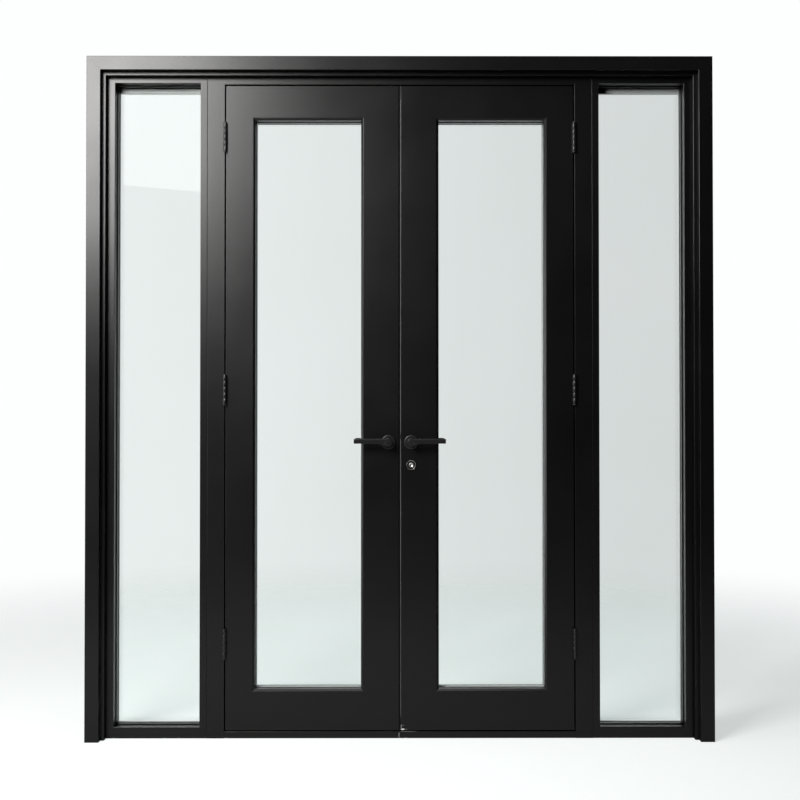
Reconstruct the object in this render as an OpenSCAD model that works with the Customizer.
// French doors with a fixed glazed sidelite on each side, in one steel frame.
// +X is right, +Y is towards the back, +Z is up. The front of the doors faces -Y.
// The origin is under the middle of the threshold, halfway through the frame's depth.
// The two leaves open towards the front about butt hinges at the outer edges.

/* [Overall] */
// Width over the casing
overall_w = 2200; // [1900:10:2700]
// Height over the casing
overall_h = 2403; // [1900:1:2900]
// Depth of the door frame and the sidelite frames
frame_depth = 120; // [114:1:150]
// Width of each sidelite frame, joint to joint
sidelite_w = 355; // [280:1:440]

/* [Casing and reveal] */
// Width of the casing's face
casing_face = 49; // [36:1:70]
// Depth of the casing
casing_depth = 25; // [16:1:40]
// How far the subframe stands in front of the frames
subframe_proud = 25; // [10:1:40]
// Width of the subframe's ledge that shows inside the casing
ledge = 13; // [4:0.5:18]
// Width of the subframe's section
subframe_face = 24; // [21:1:34]
// Radius of the folded edges
edge_r = 1.5; // [0.5:0.1:2.5]
// Wall of the steel sections
wall = 2; // [1.5:0.1:2.5]

/* [Frame faces] */
// Face of the sidelite's outer jamb
outer_jamb_face = 27; // [26:1:60]
// Face of the sidelite's inner jamb
inner_jamb_face = 25; // [20:1:60]
// Face of the sidelite's head
sidelite_head_face = 20; // [19:1:50]
// Face of the sidelite's sill
sidelite_sill_face = 40; // [24:1:90]
// Face of the door jambs
door_jamb_face = 62; // [40:1:90]
// Face of the door head
door_head_face = 25; // [20:1:60]
// Height of the threshold
threshold_h = 24; // [18:1:40]
// How far the door stops stand into the opening
stop_w = 20; // [16:1:30]

/* [Leaves] */
// Thickness of a leaf
leaf_t = 64; // [52:1:80]
// Width of the hinge stile
hinge_stile_w = 97; // [70:1:140]
// Width of the lock stile
lock_stile_w = 127; // [106:1:160]
// Height of the top rail
top_rail_h = 115; // [80:1:200]
// Height of the bottom rail
bottom_rail_h = 138; // [80:1:300]
// Gap round a leaf, at the hinges, head and threshold
leaf_gap = 4; // [3.6:0.1:6]
// Gap between the two leaves at the front
meeting_gap = 6; // [3.6:0.1:7]

/* [Glazing] */
// Thickness of each pane
pane_t = 4; // [3:0.5:6]
// Width of the space between two panes
pane_space = 12; // [8:1:14]
// Thickness of the glazing gaskets
gasket_t = 3; // [2:0.5:4]
// How far a gasket shows past the metal that holds it
gasket_show = 1; // [0.5:0.5:4]
// Thickness of the leaf's fixed glazing lip
leaf_lip_t = 10; // [6:1:14]
// Width of the leaf's bead
bead_w = 7; // [6:0.5:12]
// Depth of the bevel on the leaf's bead
bead_bevel = 5.6; // [2:0.1:7]
// Wall of the beads
bead_wall = 1.5; // [1:0.1:2]
// How far a bead's front lies behind the leaf's face
bead_recess = 0.6; // [0.2:0.1:2]
// Gap round the edge of a glass unit
glass_gap = 3; // [2:0.5:5]
// Width of the spacer bar between two panes
spacer_w = 6; // [4:0.5:8]
// Depth of the sidelite's first return, to its small ledge
sidelite_step_in = 32; // [20:1:38]
// Width of the sidelite's small ledge
sidelite_step_w = 3.5; // [2:0.5:6]
// Depth of the sidelite's glazing rebate
sidelite_rebate = 12; // [9:0.5:14]
// Depth from the sidelite's face to its glass
sidelite_glass_in = 54; // [46:1:60]
// Depth of the sidelite's bead, behind the glass
sidelite_bead_d = 15; // [12:1:20]
// How far that bead's inner edge lies back from the edge of the opening
sidelite_bead_back = 3.5; // [0:0.5:5]
// Height of the pale spacer that shows at the head of each sidelite
head_spacer_show = 16; // [0:1:30]

/* [Seals] */
// Space between the leaf and its stop
seal_space = 6; // [4:0.5:9]
// Width of the seal
seal_w = 10; // [6:1:12]
// Thickness of the seal that closes the gap between the leaves
meeting_seal_t = 3; // [2:0.5:6]
// How far that seal lies behind the leaves' faces
meeting_seal_in = 4; // [2:0.5:8]

/* [Hinges] */
// Height of a hinge
hinge_h = 102; // [76:1:127]
// Radius of the hinge knuckles
knuckle_r = 6.5; // [5:0.1:6.6]
// How far the pin stands in front of the leaf
pin_proud = 7; // [6.8:0.1:9]
// Radius of the hinge pin
pin_r = 3; // [2.5:0.1:4]
// Thickness of a hinge plate
hinge_plate_t = 1.6; // [1:0.1:1.7]
// Width of a hinge plate, back from the pin
hinge_plate_w = 42; // [25:1:50]
// From the top of a leaf down to the top of its first hinge
hinge_top_drop = 134; // [60:1:250]
// From the bottom of a leaf up to the bottom of its last hinge
hinge_bottom_rise = 254; // [100:1:350]

/* [Levers and lock] */
// Height of the levers' axis
lever_z = 1045; // [850:1:1200]
// From the meeting edge to the levers' axis
backset = 37.5; // [36:0.5:45]
// Length of a lever, from its axis to its tip
lever_len = 121; // [90:1:150]
// Height of a lever's bar
lever_bar_h = 17; // [12:0.5:22]
// Thickness of a lever's bar
lever_bar_t = 12; // [8:0.5:16]
// Radius of a lever's boss
boss_r = 14.5; // [12:0.5:18]
// Radius of a lever's neck
neck_r = 11; // [8:0.5:12]
// Length of a lever's neck outside its rose
neck_len = 28; // [20:1:34]
// Radius of a rose
rose_r = 25.5; // [20:0.5:30]
// Thickness of a rose
rose_t = 9; // [5:0.5:12]
// Width of the square spindle
spindle_w = 8; // [7:1:10]
// From the levers' axis down to the key cylinder
key_drop = 81; // [70:1:95]
// Radius of the key cylinder's body
cylinder_r = 14.5; // [12:0.5:16]
// Radius of the key cylinder's collar
collar_r = 17.5; // [16.5:0.5:20]
// Radius of the key plug
plug_r = 8; // [6:0.5:9]
// Travel of the latch bolt
latch_throw = 12; // [8:1:14]
// Travel of the dead bolt
dead_throw = 20; // [12:1:24]
// Travel of the two rods that lock the left leaf
rod_throw = 16; // [10:1:18]
// Radius of those rods
rod_r = 5; // [4:0.5:6]
// Height of the latch bolt
latch_h = 16; // [12:1:20]
// Height of the dead bolt
dead_h = 26; // [16:1:30]
// Thickness of the latch bolt and the dead bolt
bolt_t = 12; // [8:1:14]

/* [Fixings] */
// Radius of the holes for the frame's wall fixings
fixing_r = 4.25; // [3:0.25:6]
// From the bottom of the jambs to the lowest fixing
fixing_low = 250; // [150:10:400]
// Spacing of the fixings along a jamb
fixing_pitch = 600; // [400:10:700]

/* [Clearances] */
// Radial clearance of a pin or shaft that turns
run_clear = 0.08; // [0.05:0.01:0.1]
// Clearance round a sliding bolt or rod
slide_clear = 0.3; // [0.2:0.05:0.5]
// Clearance between the seal on the left leaf and the right leaf's edge
meeting_seal_clear = 0.2; // [0.1:0.05:0.5]
// Clearance round a plate let into a section
fit_clear = 0.15; // [0.1:0.05:0.3]
// Gap at each strip's mitred end, where beads and gaskets meet
joint_gap = 0.1; // [0.05:0.05:0.3]
// Radial clearance of a pin in the knuckles that hold it
pin_hold = 0.02; // [0.01:0.01:0.04]

/* [Hidden] */
$fn = 48;
arc_steps = 4;
reach = 400;
over = 1;

black = [0.03, 0.03, 0.032];
hardware = [0.05, 0.05, 0.055];
glass_tint = [0.88, 0.95, 0.93, 0.35];
rubber = [0.02, 0.02, 0.02];
spacer_grey = [0.78, 0.8, 0.79];
nickel = [0.72, 0.7, 0.66];
zinc = [0.6, 0.61, 0.62];

// depths, from front to back
face_y = -frame_depth / 2;
back_y = frame_depth / 2;
casing_back = face_y - subframe_proud;
casing_front = casing_back - casing_depth;
leaf_back = face_y + leaf_t;
stop_y = leaf_back + seal_space;
unit_t = 2 * pane_t + pane_space;
leaf_lip_y = leaf_back - leaf_lip_t;
leaf_glass_y = leaf_lip_y - gasket_t - unit_t;
side_glass_y = face_y + sidelite_glass_in;
side_lip_y = side_glass_y - gasket_t;
side_bead_y = side_glass_y + unit_t + gasket_t;

// widths and heights, from outside to inside
casing_x = overall_w / 2;
subframe_in_x = casing_x - casing_face - ledge;
subframe_out_x = subframe_in_x + subframe_face;
subframe_in_z = overall_h - casing_face - ledge;
subframe_out_z = subframe_in_z + subframe_face;
mull_x = subframe_in_x - sidelite_w;
door_x = mull_x - door_jamb_face;
door_top = subframe_in_z - door_head_face;
leaf_x0 = meeting_gap / 2;
leaf_x1 = door_x - leaf_gap;
leaf_z0 = threshold_h + leaf_gap;
leaf_z1 = door_top - leaf_gap;
leaf_lip_w = bead_w + gasket_show;

// hinges
pin_x = door_x - leaf_gap / 2;
pin_y = face_y - pin_proud;
// the meeting edges are bevelled back just enough for a leaf's rear corner to swing past
leaf_swing = pin_x - leaf_x0;
meeting_bevel = norm([leaf_swing, leaf_t + pin_proud]) - leaf_swing;
knuckles = 5;
knuckle_gap = 0.3;
knuckle_h = hinge_h / knuckles;
pin_head_h = 3;
hinge_top_z = leaf_z1 - hinge_top_drop - hinge_h;
hinge_low_z = leaf_z0 + hinge_bottom_rise;
hinge_zs = [hinge_low_z, (hinge_low_z + hinge_top_z) / 2, hinge_top_z];

// lock, in the middle of the leaf's thickness
lock_y = (face_y + leaf_back) / 2;
axis_x = leaf_x0 + backset;
edge_x = leaf_x0 + meeting_bevel / 2;
plate_t = 3;
plate_w = 22;
plate_x = edge_x + 0.3;
case_x = plate_x + plate_t;
case_wall = 2;
case_t = bolt_t + 2 * slide_clear + 2 * case_wall;
case_behind_axis = 22;
hub_r = 11;
latch_z = lever_z + hub_r + slide_clear + latch_h / 2 + 1;
key_z = lever_z - key_drop;
dead_z = (key_z + cylinder_r + lever_z - hub_r) / 2;
case_z0 = key_z - cylinder_r - 8;
case_z1 = latch_z + latch_h / 2 + 8;
plate_margin = 12;
lever_out = rose_t + neck_len + lever_bar_t;
lever_top = boss_r - 2;
neck_root = 0.5;
rod_x = axis_x - 8;
hub_space = 6;
gear_low_z = lever_z - hub_r - rod_throw - hub_space;
gear_high_z = lever_z + hub_r + rod_throw + hub_space;
gear_x = edge_x + dead_throw + 1;
keeper_t = 1.5;
keeper_w = 24;
keeper_l = 44;
stile_hole_r = spindle_w * 0.71 + 1.5;
spindle_hold = rose_t + neck_len / 2;

// ---- helpers ----

// the quarter arc of a rounded corner, about centre c, from angle a
function corner(c, r, a) =
    [for (i = [0 : arc_steps]) c + r * [cos(a + 90 * i / arc_steps), sin(a + 90 * i / arc_steps)]];

// a rectangle of corner points, x0 to x1 and y0 to y1
function rect(x0, x1, y0, y1) = [[x0, y0], [x1, y0], [x1, y1], [x0, y1]];

// the two rounded front corners of a section of a given face width
function front_corners(face, y) = concat(
    corner([edge_r, y + edge_r], edge_r, 180),
    corner([face - edge_r, y + edge_r], edge_r, 270));

// what a bar loses at its end, up to its face and past it, where it meets a crossing bar
function mitre(other) = [other, other];
function butt() = [0, 0];
function run_past(other) = [0, other];

// everything below the line where a bar meets the bar that crosses its start
module end_cut(face, cut) {
    step = cut[0] == cut[1] ? [] : [[face, cut[1]]];
    translate([0, reach, 0]) rotate([90, 0, 0]) linear_extrude(2 * reach)
        polygon(concat([[-over, -over], [-over, 0], [0, 0], [face, cut[0]]], step,
            [[face + reach, cut[1] + reach], [face + reach, -over]]));
}

// a hollow bar along +Z, its outer edge at x = 0, with its two ends cut to fit
module bar(section, chamber, length, face, start, finish) {
    difference() {
        linear_extrude(length) polygon(section);
        if (len(chamber) > 0)
            translate([0, 0, -over]) linear_extrude(length + 2 * over) polygon(chamber);
        if (start != undef) end_cut(face, start);
        if (finish != undef) translate([0, 0, length]) mirror([0, 0, 1]) end_cut(face, finish);
    }
}

// puts a bar on one side of a rectangle, with its outer edge outwards
module on_left(x0, z0) translate([x0, 0, z0]) children();
module on_right(x1, z0) translate([x1, 0, z0]) mirror([1, 0, 0]) children();
module on_head(x0, z1) translate([x0, 0, z1]) rotate([0, 90, 0]) children();
module on_sill(x0, z0) translate([x0, 0, z0]) mirror([0, 0, 1]) rotate([0, 90, 0]) children();

// four strips of one section round the inside of an opening, mitred with a hairline between them
module ring(x0, x1, z0, z1, section, chamber) {
    hairline = mitre(joint_gap);
    on_left(x0, z0) bar(section, chamber, z1 - z0, 0, hairline, hairline);
    on_right(x1, z0) bar(section, chamber, z1 - z0, 0, hairline, hairline);
    on_head(x0, z1) bar(section, chamber, x1 - x0, 0, hairline, hairline);
    on_sill(x0, z0) bar(section, chamber, x1 - x0, 0, hairline, hairline);
}

// the same ring for a section that also lies outside the opening's edge by out
module wide_ring(x0, x1, z0, z1, out, section, chamber) {
    shifted = [for (p = section) p + [out, 0]];
    hollow = [for (p = chamber) p + [out, 0]];
    ring(x0 - out, x1 + out, z0 - out, z1 + out, shifted, hollow);
}

module left_or_right(side) {
    if (side < 0) mirror([1, 0, 0]) children();
    else children();
}

module across(r, length) rotate([-90, 0, 0]) cylinder(r = r, h = length);
module block(x0, x1, y0, y1, z0, z1) translate([x0, y0, z0]) cube([x1 - x0, y1 - y0, z1 - z0]);

// ---- casing and subframe ----

casing_section = concat(front_corners(casing_face, casing_front),
    [[casing_face, casing_back], [0, casing_back]]);
casing_chamber = rect(wall, casing_face - wall, casing_front + wall, casing_back - wall);
subframe_section = concat(
    corner([edge_r, casing_back + edge_r], edge_r, 180),
    corner([subframe_face - edge_r, casing_back + edge_r], edge_r, 270),
    [[subframe_face, back_y], [0, back_y]]);
subframe_chamber = rect(wall, subframe_face - wall, casing_back + wall, back_y - wall);

module casing_leg() bar(casing_section, casing_chamber, overall_h, casing_face, undef,
    mitre(casing_face));
module casing_head() color(black) on_head(-casing_x, overall_h)
    bar(casing_section, casing_chamber, overall_w, casing_face, mitre(casing_face),
        mitre(casing_face));
module casing_left() color(black) on_left(-casing_x, 0) casing_leg();
module casing_right() color(black) on_right(casing_x, 0) casing_leg();

// the wall fixings pass through the outer jamb and the subframe, under the glazing beads
fixing_y = side_bead_y + sidelite_bead_d / 2;
fixing_count = floor((subframe_in_z - 2 * fixing_low) / fixing_pitch);
fixing_z0 = subframe_in_z / 2 - fixing_pitch * fixing_count / 2;
module fixing_holes() {
    for (i = [0 : fixing_count])
        translate([subframe_in_x - outer_jamb_face - over, fixing_y, fixing_z0 + i * fixing_pitch])
            rotate([0, 90, 0]) cylinder(r = fixing_r, h = outer_jamb_face + subframe_face + 2 * over);
}

module subframe_leg() difference() {
    on_right(subframe_out_x, 0)
        bar(subframe_section, subframe_chamber, subframe_out_z, subframe_face, undef,
            mitre(subframe_face));
    fixing_holes();
}
module subframe_head() color(black) on_head(-subframe_out_x, subframe_out_z)
    bar(subframe_section, subframe_chamber, 2 * subframe_out_x, subframe_face,
        mitre(subframe_face), mitre(subframe_face));
module subframe_left() color(black) left_or_right(-1) subframe_leg();
module subframe_right() color(black) left_or_right(1) subframe_leg();

// ---- sidelites ----

function side_web(face) = face - sidelite_rebate;
function side_section(face) = concat(front_corners(face, face_y), [
    [face, face_y + sidelite_step_in],
    [face + sidelite_step_w, face_y + sidelite_step_in],
    [face + sidelite_step_w, side_lip_y],
    [side_web(face), side_lip_y],
    [side_web(face), back_y],
    [0, back_y]]);
// one chamber behind the face; the narrow web behind it has its own
function side_chamber(face) = rect(wall, face - wall, face_y + wall, side_lip_y - wall);
function web_chamber(face) = rect(wall, side_web(face) - wall, side_lip_y + wall, back_y - wall);

side_x0 = mull_x;
side_x1 = subframe_in_x;
side_open_x0 = side_x0 + inner_jamb_face;
side_open_x1 = side_x1 - outer_jamb_face;
side_open_z0 = sidelite_sill_face;
side_open_z1 = subframe_in_z - sidelite_head_face;

module side_bar(face, length, start, finish) difference() {
    bar(side_section(face), side_chamber(face), length, face, start, finish);
    translate([0, 0, -over]) linear_extrude(length + 2 * over) polygon(web_chamber(face));
}

module outer_jamb() difference() {
    on_right(side_x1, 0) side_bar(outer_jamb_face, subframe_in_z, mitre(sidelite_sill_face),
        mitre(sidelite_head_face));
    fixing_holes();
}
module inner_jamb() on_left(side_x0, 0)
    side_bar(inner_jamb_face, subframe_in_z, mitre(sidelite_sill_face), mitre(sidelite_head_face));
module side_head() on_head(side_x0, subframe_in_z)
    side_bar(sidelite_head_face, sidelite_w, mitre(inner_jamb_face), mitre(outer_jamb_face));
module side_sill() on_sill(side_x0, 0)
    side_bar(sidelite_sill_face, sidelite_w, mitre(inner_jamb_face), mitre(outer_jamb_face));

module sidelite_outer_jamb_left() color(black) left_or_right(-1) outer_jamb();
module sidelite_outer_jamb_right() color(black) left_or_right(1) outer_jamb();
module sidelite_inner_jamb_left() color(black) left_or_right(-1) inner_jamb();
module sidelite_inner_jamb_right() color(black) left_or_right(1) inner_jamb();
module sidelite_rails() color(black) for (side = [-1, 1]) left_or_right(side) {
    side_head();
    side_sill();
}

// the unit stands glass_gap clear of the bottom of its rebate
side_glass_out = sidelite_rebate - glass_gap;
module panes(x0, x1, z0, z1, y) {
    block(x0, x1, y, y + pane_t, z0, z1);
    block(x0, x1, y + pane_t + pane_space, y + unit_t, z0, z1);
}
module side_panes() panes(side_open_x0 - side_glass_out, side_open_x1 + side_glass_out,
    side_open_z0 - side_glass_out, side_open_z1 + side_glass_out, side_glass_y);
module sidelite_glass_left() color(glass_tint) left_or_right(-1) side_panes();
module sidelite_glass_right() color(glass_tint) left_or_right(1) side_panes();

// the spacer bar runs round the unit; the head's is deeper and shows below the gasket
module spacer(x0, x1, z0, z1, y, width, head) difference() {
    block(x0, x1, y + pane_t, y + pane_t + pane_space, z0, z1);
    block(x0 + width, x1 - width, y, y + unit_t, z0 + width, z1 - width - head);
}
side_head_extra = gasket_show + head_spacer_show;
module sidelite_spacers() color(spacer_grey) for (side = [-1, 1]) left_or_right(side)
    spacer(side_open_x0 - side_glass_out, side_open_x1 + side_glass_out,
        side_open_z0 - side_glass_out, side_open_z1 + side_glass_out, side_glass_y,
        side_glass_out + sidelite_step_w, side_head_extra);

side_bead_y1 = side_bead_y + sidelite_bead_d;
side_bead_section = rect(-sidelite_rebate, -sidelite_bead_back, side_bead_y, side_bead_y1);
side_bead_chamber = rect(-sidelite_rebate + bead_wall, -sidelite_bead_back - bead_wall,
    side_bead_y + bead_wall, side_bead_y1 - bead_wall);
module sidelite_beads() color(black) for (side = [-1, 1]) left_or_right(side)
    wide_ring(side_open_x0, side_open_x1, side_open_z0, side_open_z1, sidelite_rebate,
        side_bead_section, side_bead_chamber);

side_gasket_front = rect(-side_glass_out, sidelite_step_w + gasket_show, side_lip_y, side_glass_y);
side_gasket_rear = rect(-side_glass_out, gasket_show - sidelite_bead_back,
    side_bead_y - gasket_t, side_bead_y);
module sidelite_gaskets() color(rubber) for (side = [-1, 1]) left_or_right(side)
    for (section = [side_gasket_front, side_gasket_rear])
        wide_ring(side_open_x0, side_open_x1, side_open_z0, side_open_z1, side_glass_out,
            section, []);

// ---- door frame ----

function rebated_section(face) = concat(front_corners(face, face_y), [
    [face, stop_y], [face + stop_w, stop_y], [face + stop_w, back_y], [0, back_y]]);
function rebated_chamber(face) = [
    [wall, face_y + wall], [face - wall, face_y + wall], [face - wall, stop_y + wall],
    [face + stop_w - wall, stop_y + wall], [face + stop_w - wall, back_y - wall],
    [wall, back_y - wall]];

module door_jamb() on_right(mull_x, 0)
    bar(rebated_section(door_jamb_face), rebated_chamber(door_jamb_face), subframe_in_z,
        door_jamb_face, run_past(threshold_h), mitre(door_head_face));
module door_jamb_left() color(black) left_or_right(-1) door_jamb();
module door_jamb_right() color(black) left_or_right(1) door_jamb();
module door_head() color(black) difference() {
    on_head(-mull_x, subframe_in_z)
        bar(rebated_section(door_head_face), rebated_chamber(door_head_face), 2 * mull_x,
            door_head_face, mitre(door_jamb_face), mitre(door_jamb_face));
    translate([-rod_x, lock_y, door_top - over]) cylinder(r = rod_r + slide_clear, h = wall + 2 * over);
}
module threshold() color(black) difference() {
    on_sill(-door_x, 0)
        bar(rebated_section(threshold_h), rebated_chamber(threshold_h), 2 * door_x,
            threshold_h, butt(), butt());
    translate([-rod_x, lock_y, threshold_h - wall - over])
        cylinder(r = rod_r + slide_clear, h = wall + 2 * over);
}

seal_in = (stop_w - seal_w) / 2;
seal_tip = stop_y - seal_space + slide_clear;
seal_section = rect(seal_in, seal_in + seal_w, seal_tip, stop_y);
module frame_seal() color(rubber)
    ring(-door_x, door_x, threshold_h, door_top, seal_section, []);

module keeper(z) difference() {
    block(-rod_x - keeper_l / 2, -rod_x + keeper_l / 2, lock_y - keeper_w / 2,
        lock_y + keeper_w / 2, z, z + keeper_t);
    translate([-rod_x, lock_y, z - over]) cylinder(r = rod_r + slide_clear, h = keeper_t + 2 * over);
}
module bolt_keepers() color(zinc) {
    keeper(door_top - keeper_t);
    keeper(threshold_h);
}

// ---- hinges ----

module at_hinges() for (z = hinge_zs) translate([pin_x, pin_y, z]) children();

// the knuckles of one half, from the first one given, every second one
module knuckle_stack(first, hole_r) for (i = [first : 2 : knuckles - 1])
    translate([0, 0, i * knuckle_h + knuckle_gap / 2]) difference() {
        cylinder(r = knuckle_r, h = knuckle_h - knuckle_gap);
        translate([0, 0, -over]) cylinder(r = hole_r, h = knuckle_h + 2 * over);
    }
// the room that the other half's knuckles need
module knuckle_room(first) for (i = [first : 2 : knuckles - 1])
    translate([0, 0, i * knuckle_h - knuckle_gap / 2])
        cylinder(r = knuckle_r + slide_clear, h = knuckle_h + knuckle_gap);
// a plate from the pin back along the edge, x0 to x1, clear of the pin and of those knuckles
module hinge_plate(x0, x1, other_first, hole_r) difference() {
    block(x0, x1, 0, hinge_plate_w, knuckle_gap / 2, hinge_h - knuckle_gap / 2);
    knuckle_room(other_first);
    translate([0, 0, -over]) cylinder(r = hole_r, h = hinge_h + 2 * over);
}
module hinge_pin() union() {
    cylinder(r = pin_r, h = hinge_h);
    translate([0, 0, -pin_head_h]) cylinder(r = knuckle_r - 0.5, h = pin_head_h);
    translate([0, 0, hinge_h]) cylinder(r = knuckle_r - 0.5, h = pin_head_h);
}
module frame_half() at_hinges() {
    union() {
        knuckle_stack(0, pin_r + pin_hold);
        hinge_plate(leaf_gap / 2 - hinge_plate_t, leaf_gap / 2, 1, pin_r + pin_hold);
    }
    hinge_pin();
}
module leaf_half() at_hinges() union() {
    knuckle_stack(1, pin_r + run_clear);
    hinge_plate(-leaf_gap / 2, hinge_plate_t - leaf_gap / 2, 0, pin_r + run_clear);
}
module frame_hinges_left() color(hardware) left_or_right(-1) frame_half();
module frame_hinges_right() color(hardware) left_or_right(1) frame_half();
module left_leaf_hinges() color(hardware) left_or_right(-1) leaf_half();
module right_leaf_hinges() color(hardware) left_or_right(1) leaf_half();

// ---- leaves ----

function leaf_section(face, bevel) = concat(front_corners(face, face_y), [
    [face, leaf_lip_y], [face + leaf_lip_w, leaf_lip_y], [face + leaf_lip_w, leaf_back],
    [bevel, leaf_back]]);
function leaf_chamber(face, bevel) = [
    [wall, face_y + wall], [face - wall, face_y + wall], [face - wall, leaf_lip_y + wall],
    [face + leaf_lip_w - wall, leaf_lip_y + wall],
    [face + leaf_lip_w - wall, leaf_back - wall], [bevel + wall, leaf_back - wall]];

leaf_w = leaf_x1 - leaf_x0;
leaf_h = leaf_z1 - leaf_z0;
open_x0 = leaf_x0 + lock_stile_w;
open_x1 = leaf_x1 - hinge_stile_w;
open_z0 = leaf_z0 + bottom_rail_h;
open_z1 = leaf_z1 - top_rail_h;

// the right leaf's bars; the left leaf's are their mirror images
module leaf_bar(face, bevel, length, start, finish)
    bar(leaf_section(face, bevel), leaf_chamber(face, bevel), length, face, mitre(start),
        mitre(finish));
module hinge_stile() on_right(leaf_x1, leaf_z0)
    leaf_bar(hinge_stile_w, 0, leaf_h, bottom_rail_h, top_rail_h);
module edge_window(z0, z1) block(leaf_x0 - over, case_x, lock_y - plate_w / 2 - fit_clear,
    lock_y + plate_w / 2 + fit_clear, z0 - fit_clear, z1 + fit_clear);
module lock_stile() difference() {
    on_left(leaf_x0, leaf_z0) leaf_bar(lock_stile_w, meeting_bevel, leaf_h, bottom_rail_h, top_rail_h);
    translate([axis_x, face_y - over, lever_z]) across(stile_hole_r, leaf_t + 2 * over);
    edge_window(case_z0 - plate_margin, case_z1 + plate_margin);
}
// the rails end on the same bevel as the lock stile's edge, whose rear corner lies further in
module edge_bevel_cut() translate([0, 0, leaf_z0 - over]) linear_extrude(leaf_h + 2 * over)
    polygon([[leaf_x0 - over, face_y], [leaf_x0, face_y], [leaf_x0, face_y + edge_r],
        [leaf_x0 + meeting_bevel, leaf_back],
        [leaf_x0 + meeting_bevel, leaf_back + over], [leaf_x0 - over, leaf_back + over]]);
module top_rail() difference() {
    on_head(leaf_x0, leaf_z1) leaf_bar(top_rail_h, 0, leaf_w, lock_stile_w, hinge_stile_w);
    edge_bevel_cut();
}
module bottom_rail() difference() {
    on_sill(leaf_x0, leaf_z0) leaf_bar(bottom_rail_h, 0, leaf_w, lock_stile_w, hinge_stile_w);
    edge_bevel_cut();
}
module rod_hole(z) translate([rod_x, lock_y, z - wall - over])
    cylinder(r = rod_r + slide_clear, h = 2 * wall + 2 * over);

module left_hinge_stile() color(black) left_or_right(-1) hinge_stile();
module right_hinge_stile() color(black) left_or_right(1) hinge_stile();
module left_lock_stile() color(black) left_or_right(-1) lock_stile();
module right_lock_stile() color(black) difference() {
    lock_stile();
    translate([axis_x, face_y - over, key_z]) across(cylinder_r + fit_clear, leaf_t + 2 * over);
}
module left_top_rail() color(black) left_or_right(-1) difference() {
    top_rail();
    rod_hole(leaf_z1);
}
module right_top_rail() color(black) top_rail();
module left_bottom_rail() color(black) left_or_right(-1) difference() {
    bottom_rail();
    rod_hole(leaf_z0);
}
module right_bottom_rail() color(black) bottom_rail();

module leaf_panes() panes(open_x0 + glass_gap, open_x1 - glass_gap, open_z0 + glass_gap,
    open_z1 - glass_gap, leaf_glass_y);
module leaf_spacer() spacer(open_x0 + glass_gap, open_x1 - glass_gap, open_z0 + glass_gap,
    open_z1 - glass_gap, leaf_glass_y, spacer_w, 0);
module left_glass() color(glass_tint) left_or_right(-1) leaf_panes();
module right_glass() color(glass_tint) left_or_right(1) leaf_panes();
module left_spacer() color(spacer_grey) left_or_right(-1) leaf_spacer();
module right_spacer() color(spacer_grey) left_or_right(1) leaf_spacer();

// the bead lies on the stiles and rails, with a bevelled front and a gasket behind it
bead_y0 = face_y + bead_recess;
bead_y1 = leaf_glass_y - gasket_t;
bead_section = [[0, bead_y0], [bead_recess, bead_y0], [bead_w, bead_y0 + bead_bevel],
    [bead_w, bead_y1], [0, bead_y1]];
bead_chamber = rect(bead_wall, bead_w - bead_wall, bead_y0 + bead_bevel + bead_wall,
    bead_y1 - bead_wall);
leaf_gasket_front = rect(glass_gap, leaf_lip_w, bead_y1, leaf_glass_y);
leaf_gasket_rear = rect(glass_gap, leaf_lip_w, leaf_glass_y + unit_t, leaf_lip_y);
module leaf_beads() ring(open_x0, open_x1, open_z0, open_z1, bead_section, bead_chamber);
module leaf_gaskets() for (section = [leaf_gasket_front, leaf_gasket_rear])
    ring(open_x0, open_x1, open_z0, open_z1, section, []);
module left_beads() color(black) left_or_right(-1) leaf_beads();
module right_beads() color(black) left_or_right(1) leaf_beads();
module left_gaskets() color(rubber) left_or_right(-1) leaf_gaskets();
module right_gaskets() color(rubber) left_or_right(1) leaf_gaskets();

// a flat seal on the left leaf's meeting edge, across the gap and just short of the right leaf
function edge_x_at(y) = leaf_x0 + meeting_bevel * (y - face_y - edge_r) / (leaf_t - edge_r);
meeting_seal_y0 = face_y + meeting_seal_in;
meeting_seal_y1 = meeting_seal_y0 + meeting_seal_t;
meeting_seal_tip = meeting_seal_clear - leaf_x0;
module left_meeting_seal() color(rubber) left_or_right(-1) translate([0, 0, leaf_z0])
    linear_extrude(leaf_h) polygon([
        [edge_x_at(meeting_seal_y0), meeting_seal_y0], [edge_x_at(meeting_seal_y1), meeting_seal_y1],
        [meeting_seal_tip, meeting_seal_y1], [meeting_seal_tip, meeting_seal_y0]]);

// ---- lock and levers ----

module latch_slot(grow) block(-reach, reach, lock_y - bolt_t / 2 - grow, lock_y + bolt_t / 2 + grow,
    latch_z - latch_h / 2 - grow, latch_z + latch_h / 2 + grow);
module dead_slot(grow) block(-reach, reach, lock_y - bolt_t / 2 - grow, lock_y + bolt_t / 2 + grow,
    dead_z - dead_h / 2 - grow, dead_z + dead_h / 2 + grow);
module edge_plate(grow) difference() {
    block(plate_x, plate_x + plate_t, lock_y - plate_w / 2, lock_y + plate_w / 2,
        case_z0 - plate_margin, case_z1 + plate_margin);
    latch_slot(grow);
    dead_slot(grow);
}
strike_grow = 1;
module left_strike_plate() color(nickel) left_or_right(-1) edge_plate(strike_grow);
module right_lock_plate() color(nickel) edge_plate(slide_clear);

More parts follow.
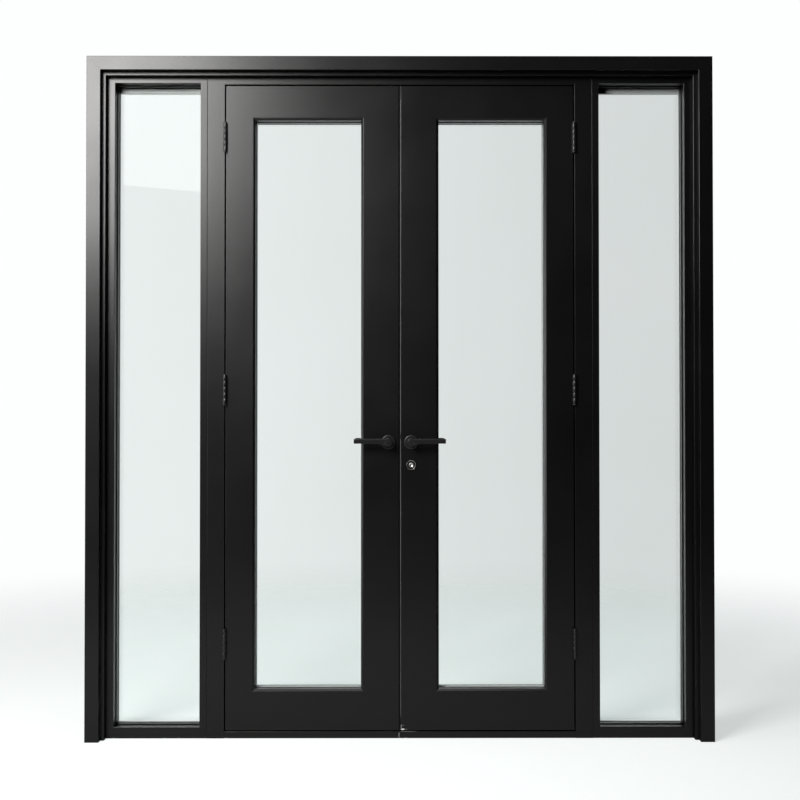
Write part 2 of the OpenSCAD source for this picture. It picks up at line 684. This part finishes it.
case_x1 = axis_x + case_behind_axis;
module right_lock_case() color(zinc) difference() {
    block(case_x, case_x1, lock_y - case_t / 2, lock_y + case_t / 2, case_z0, case_z1);
    block(case_x + case_wall, case_x1 - case_wall, lock_y - case_t / 2 + case_wall,
        lock_y + case_t / 2 - case_wall, case_z0 + case_wall, case_z1 - case_wall);
    intersection() {
        union() {
            latch_slot(slide_clear);
            dead_slot(slide_clear);
        }
        block(0, axis_x, -reach, reach, case_z0, case_z1);
    }
    translate([axis_x, lock_y - case_t, lever_z]) across(stile_hole_r, 2 * case_t);
    translate([axis_x, lock_y - case_t, key_z]) across(cylinder_r + fit_clear, 2 * case_t);
}

module left_gearbox() color(zinc) left_or_right(-1) difference() {
    block(gear_x, case_x1, lock_y - case_t / 2, lock_y + case_t / 2,
        gear_low_z - 2 * case_wall, gear_high_z + 2 * case_wall);
    block(gear_x + case_wall, case_x1 - case_wall, lock_y - case_t / 2 + case_wall,
        lock_y + case_t / 2 - case_wall, gear_low_z - case_wall, gear_high_z + case_wall);
    translate([axis_x, lock_y - case_t, lever_z]) across(stile_hole_r, 2 * case_t);
    translate([rod_x, lock_y, gear_low_z - 3 * case_wall])
        cylinder(r = rod_r + slide_clear, h = gear_high_z - gear_low_z + 6 * case_wall);
}

module roses() for (y = [face_y - rose_t, leaf_back])
    translate([axis_x, y, lever_z]) difference() {
        across(rose_r, rose_t);
        translate([0, -over, 0]) across(neck_r + run_clear, rose_t + 2 * over);
    }
module left_roses() color(hardware) left_or_right(-1) roses();
module right_roses() color(hardware) left_or_right(1) roses();

// one lever: neck, boss and bar, its neck's root at y = 0 and the bar towards -Y
module lever() difference() {
    union() {
        translate([0, -lever_out, 0]) across(neck_r, lever_out - neck_root);
        translate([0, -lever_out, 0]) across(boss_r, lever_bar_t);
        block(0, lever_len, -lever_out, lever_bar_t - lever_out, lever_top - lever_bar_h, lever_top);
    }
    block(-spindle_w / 2, spindle_w / 2, -spindle_hold, over, -spindle_w / 2, spindle_w / 2);
}
module levers() {
    translate([axis_x, face_y, lever_z]) lever();
    translate([axis_x, leaf_back, lever_z]) mirror([0, 1, 0]) lever();
}
module left_levers() color(hardware) left_or_right(-1) levers();
module right_levers() color(hardware) left_or_right(1) levers();

hub_t = case_t - 2 * case_wall - 2 * slide_clear;
module spindle() union() {
    block(axis_x - spindle_w / 2, axis_x + spindle_w / 2, face_y - spindle_hold,
        leaf_back + spindle_hold, lever_z - spindle_w / 2, lever_z + spindle_w / 2);
    translate([axis_x, lock_y - hub_t / 2, lever_z]) across(hub_r, hub_t);
}
module left_spindle() color(zinc) left_or_right(-1) spindle();
module right_spindle() color(zinc) spindle();

// the latch bolt shows past the plate, its nose bevelled on the side that strikes first
bolt_tail_x = axis_x + hub_r / 2;
module latch_bolt() color(nickel) translate([0, 0, latch_z - latch_h / 2]) linear_extrude(latch_h)
    polygon([[edge_x - latch_throw, lock_y - bolt_t / 2],
        [bolt_tail_x - latch_throw, lock_y - bolt_t / 2],
        [bolt_tail_x - latch_throw, lock_y + bolt_t / 2],
        [edge_x, lock_y + bolt_t / 2],
        [edge_x - latch_throw, lock_y - bolt_t / 6]]);

module dead_bolt() color(nickel)
    block(plate_x, bolt_tail_x, lock_y - bolt_t / 2, lock_y + bolt_t / 2,
        dead_z - dead_h / 2, dead_z + dead_h / 2);

// the key cylinder: a body through the stile and a collar on each face
collar_t = 5;
module at_key(y) translate([axis_x, y, key_z]) children();
module right_key_cylinder() color(nickel) difference() {
    union() {
        at_key(face_y - collar_t) across(cylinder_r, leaf_t + 2 * collar_t);
        at_key(face_y - collar_t) across(collar_r, collar_t);
        at_key(leaf_back) across(collar_r, collar_t);
    }
    at_key(face_y - collar_t - over) across(plug_r + run_clear, leaf_t + 2 * collar_t + 2 * over);
}
plug_proud = 0.8;
keyway_w = 2;
keyway_h = 9;
keyway_d = 24;
module key_plug() color(nickel) difference() {
    at_key(face_y - collar_t - plug_proud) across(plug_r, leaf_t / 2 + collar_t + plug_proud);
    at_key(face_y - collar_t - plug_proud)
        block(-keyway_w / 2, keyway_w / 2, -over, keyway_d, -keyway_h / 2, keyway_h / 2);
}
turn_knob_w = 24;
turn_knob_h = 8;
turn_knob_out = 18;
module thumb_turn() color(nickel) union() {
    at_key(face_y + leaf_t / 2) across(plug_r, leaf_t / 2 + collar_t + turn_knob_out / 2);
    at_key(leaf_back + collar_t + turn_knob_out / 3)
        block(-turn_knob_w / 2, turn_knob_w / 2, 0, turn_knob_out, -turn_knob_h / 2, turn_knob_h / 2);
}

rod_high_z0 = gear_high_z - hub_space + 2;
rod_low_z1 = gear_low_z + hub_space - 2;
module rod(z0, z1) translate([-rod_x, lock_y, z0]) cylinder(r = rod_r, h = z1 - z0);
module top_rod() color(zinc) rod(rod_high_z0, leaf_z1 + rod_throw);
module bottom_rod() color(zinc) rod(leaf_z0 - rod_throw, rod_low_z1);

// ---- the pieces ----

casing_head();
casing_left();
casing_right();
subframe_head();
subframe_left();
subframe_right();
sidelite_outer_jamb_left();
sidelite_outer_jamb_right();
sidelite_inner_jamb_left();
sidelite_inner_jamb_right();
sidelite_rails();
sidelite_glass_left();
sidelite_glass_right();
sidelite_spacers();
sidelite_beads();
sidelite_gaskets();
door_jamb_left();
door_jamb_right();
door_head();
threshold();
frame_seal();
frame_hinges_left();
frame_hinges_right();
bolt_keepers();
left_hinge_stile();
left_lock_stile();
left_top_rail();
left_bottom_rail();
left_glass();
left_spacer();
left_beads();
left_gaskets();
left_leaf_hinges();
left_strike_plate();
left_roses();
left_gearbox();
left_meeting_seal();
right_hinge_stile();
right_lock_stile();
right_top_rail();
right_bottom_rail();
right_glass();
right_spacer();
right_beads();
right_gaskets();
right_leaf_hinges();
right_lock_plate();
right_roses();
right_lock_case();
right_key_cylinder();
left_levers();
left_spindle();
right_levers();
right_spindle();
latch_bolt();
dead_bolt();
key_plug();
thumb_turn();
top_rod();
bottom_rod();
